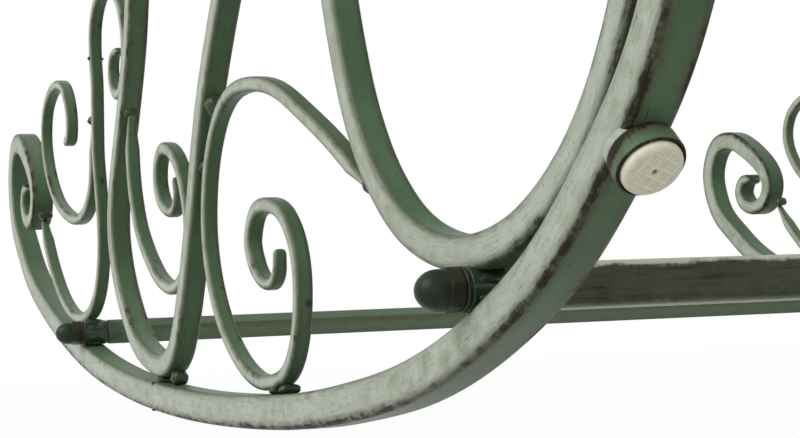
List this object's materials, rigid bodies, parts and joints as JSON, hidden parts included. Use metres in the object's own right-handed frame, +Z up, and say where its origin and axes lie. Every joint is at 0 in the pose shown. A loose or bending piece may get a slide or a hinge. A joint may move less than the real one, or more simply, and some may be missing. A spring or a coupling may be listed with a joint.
{
  "type": "rocking garden bench",
  "caption": "Rocking garden bench of painted square iron bar: scrollwork side frames with rockers and arms, joined by stretchers, a slatted seat and a barred back.",
  "frame": {"origin": "centre of the bench's outline on the floor, with the bench balanced on its rockers", "axes": "+X along the bench, to the right when facing it from the front, +Y from the front to the rear, +Z up"},
  "size_m": [0.8898, 1.289, 0.9357],
  "materials": {
    "green_paint": "worn satin",
    "worn_iron": "worn",
    "dark_nuts": "satin",
    "ivory_plastic": "matte"
  },
  "bodies": {
    "root": {"left_rocker": "green_paint", "right_rocker": "green_paint", "left_oval": "green_paint", "right_oval": "green_paint", "left_leg_loop": "green_paint", "right_leg_loop": "green_paint", "left_arch_scroll": "green_paint", "right_arch_scroll": "green_paint", "left_inner_scroll": "green_paint", "right_inner_scroll": "green_paint", "left_rear_scroll": "green_paint", "right_rear_scroll": "green_paint", "left_hook_scroll": "green_paint", "right_hook_scroll": "green_paint", "left_weld_beads": "worn_iron", "right_weld_beads": "worn_iron", "front_stretcher": "worn_iron", "rear_stretcher": "green_paint", "stretcher_bosses": "green_paint", "tie_bolts": "worn_iron", "bolt_washers": "dark_nuts", "cap_nuts": "dark_nuts", "stop_cups": "green_paint", "stop_glides": "ivory_plastic", "left_seat_rail": "green_paint", "right_seat_rail": "green_paint", "seat_front_rail": "green_paint", "seat_rear_rail": "green_paint", "seat_bearer": "green_paint", "seat_slats": "green_paint", "back_lower_rail": "green_paint", "back_top_rail": "green_paint", "back_bars": "green_paint"}
  },
  "joints": []
}
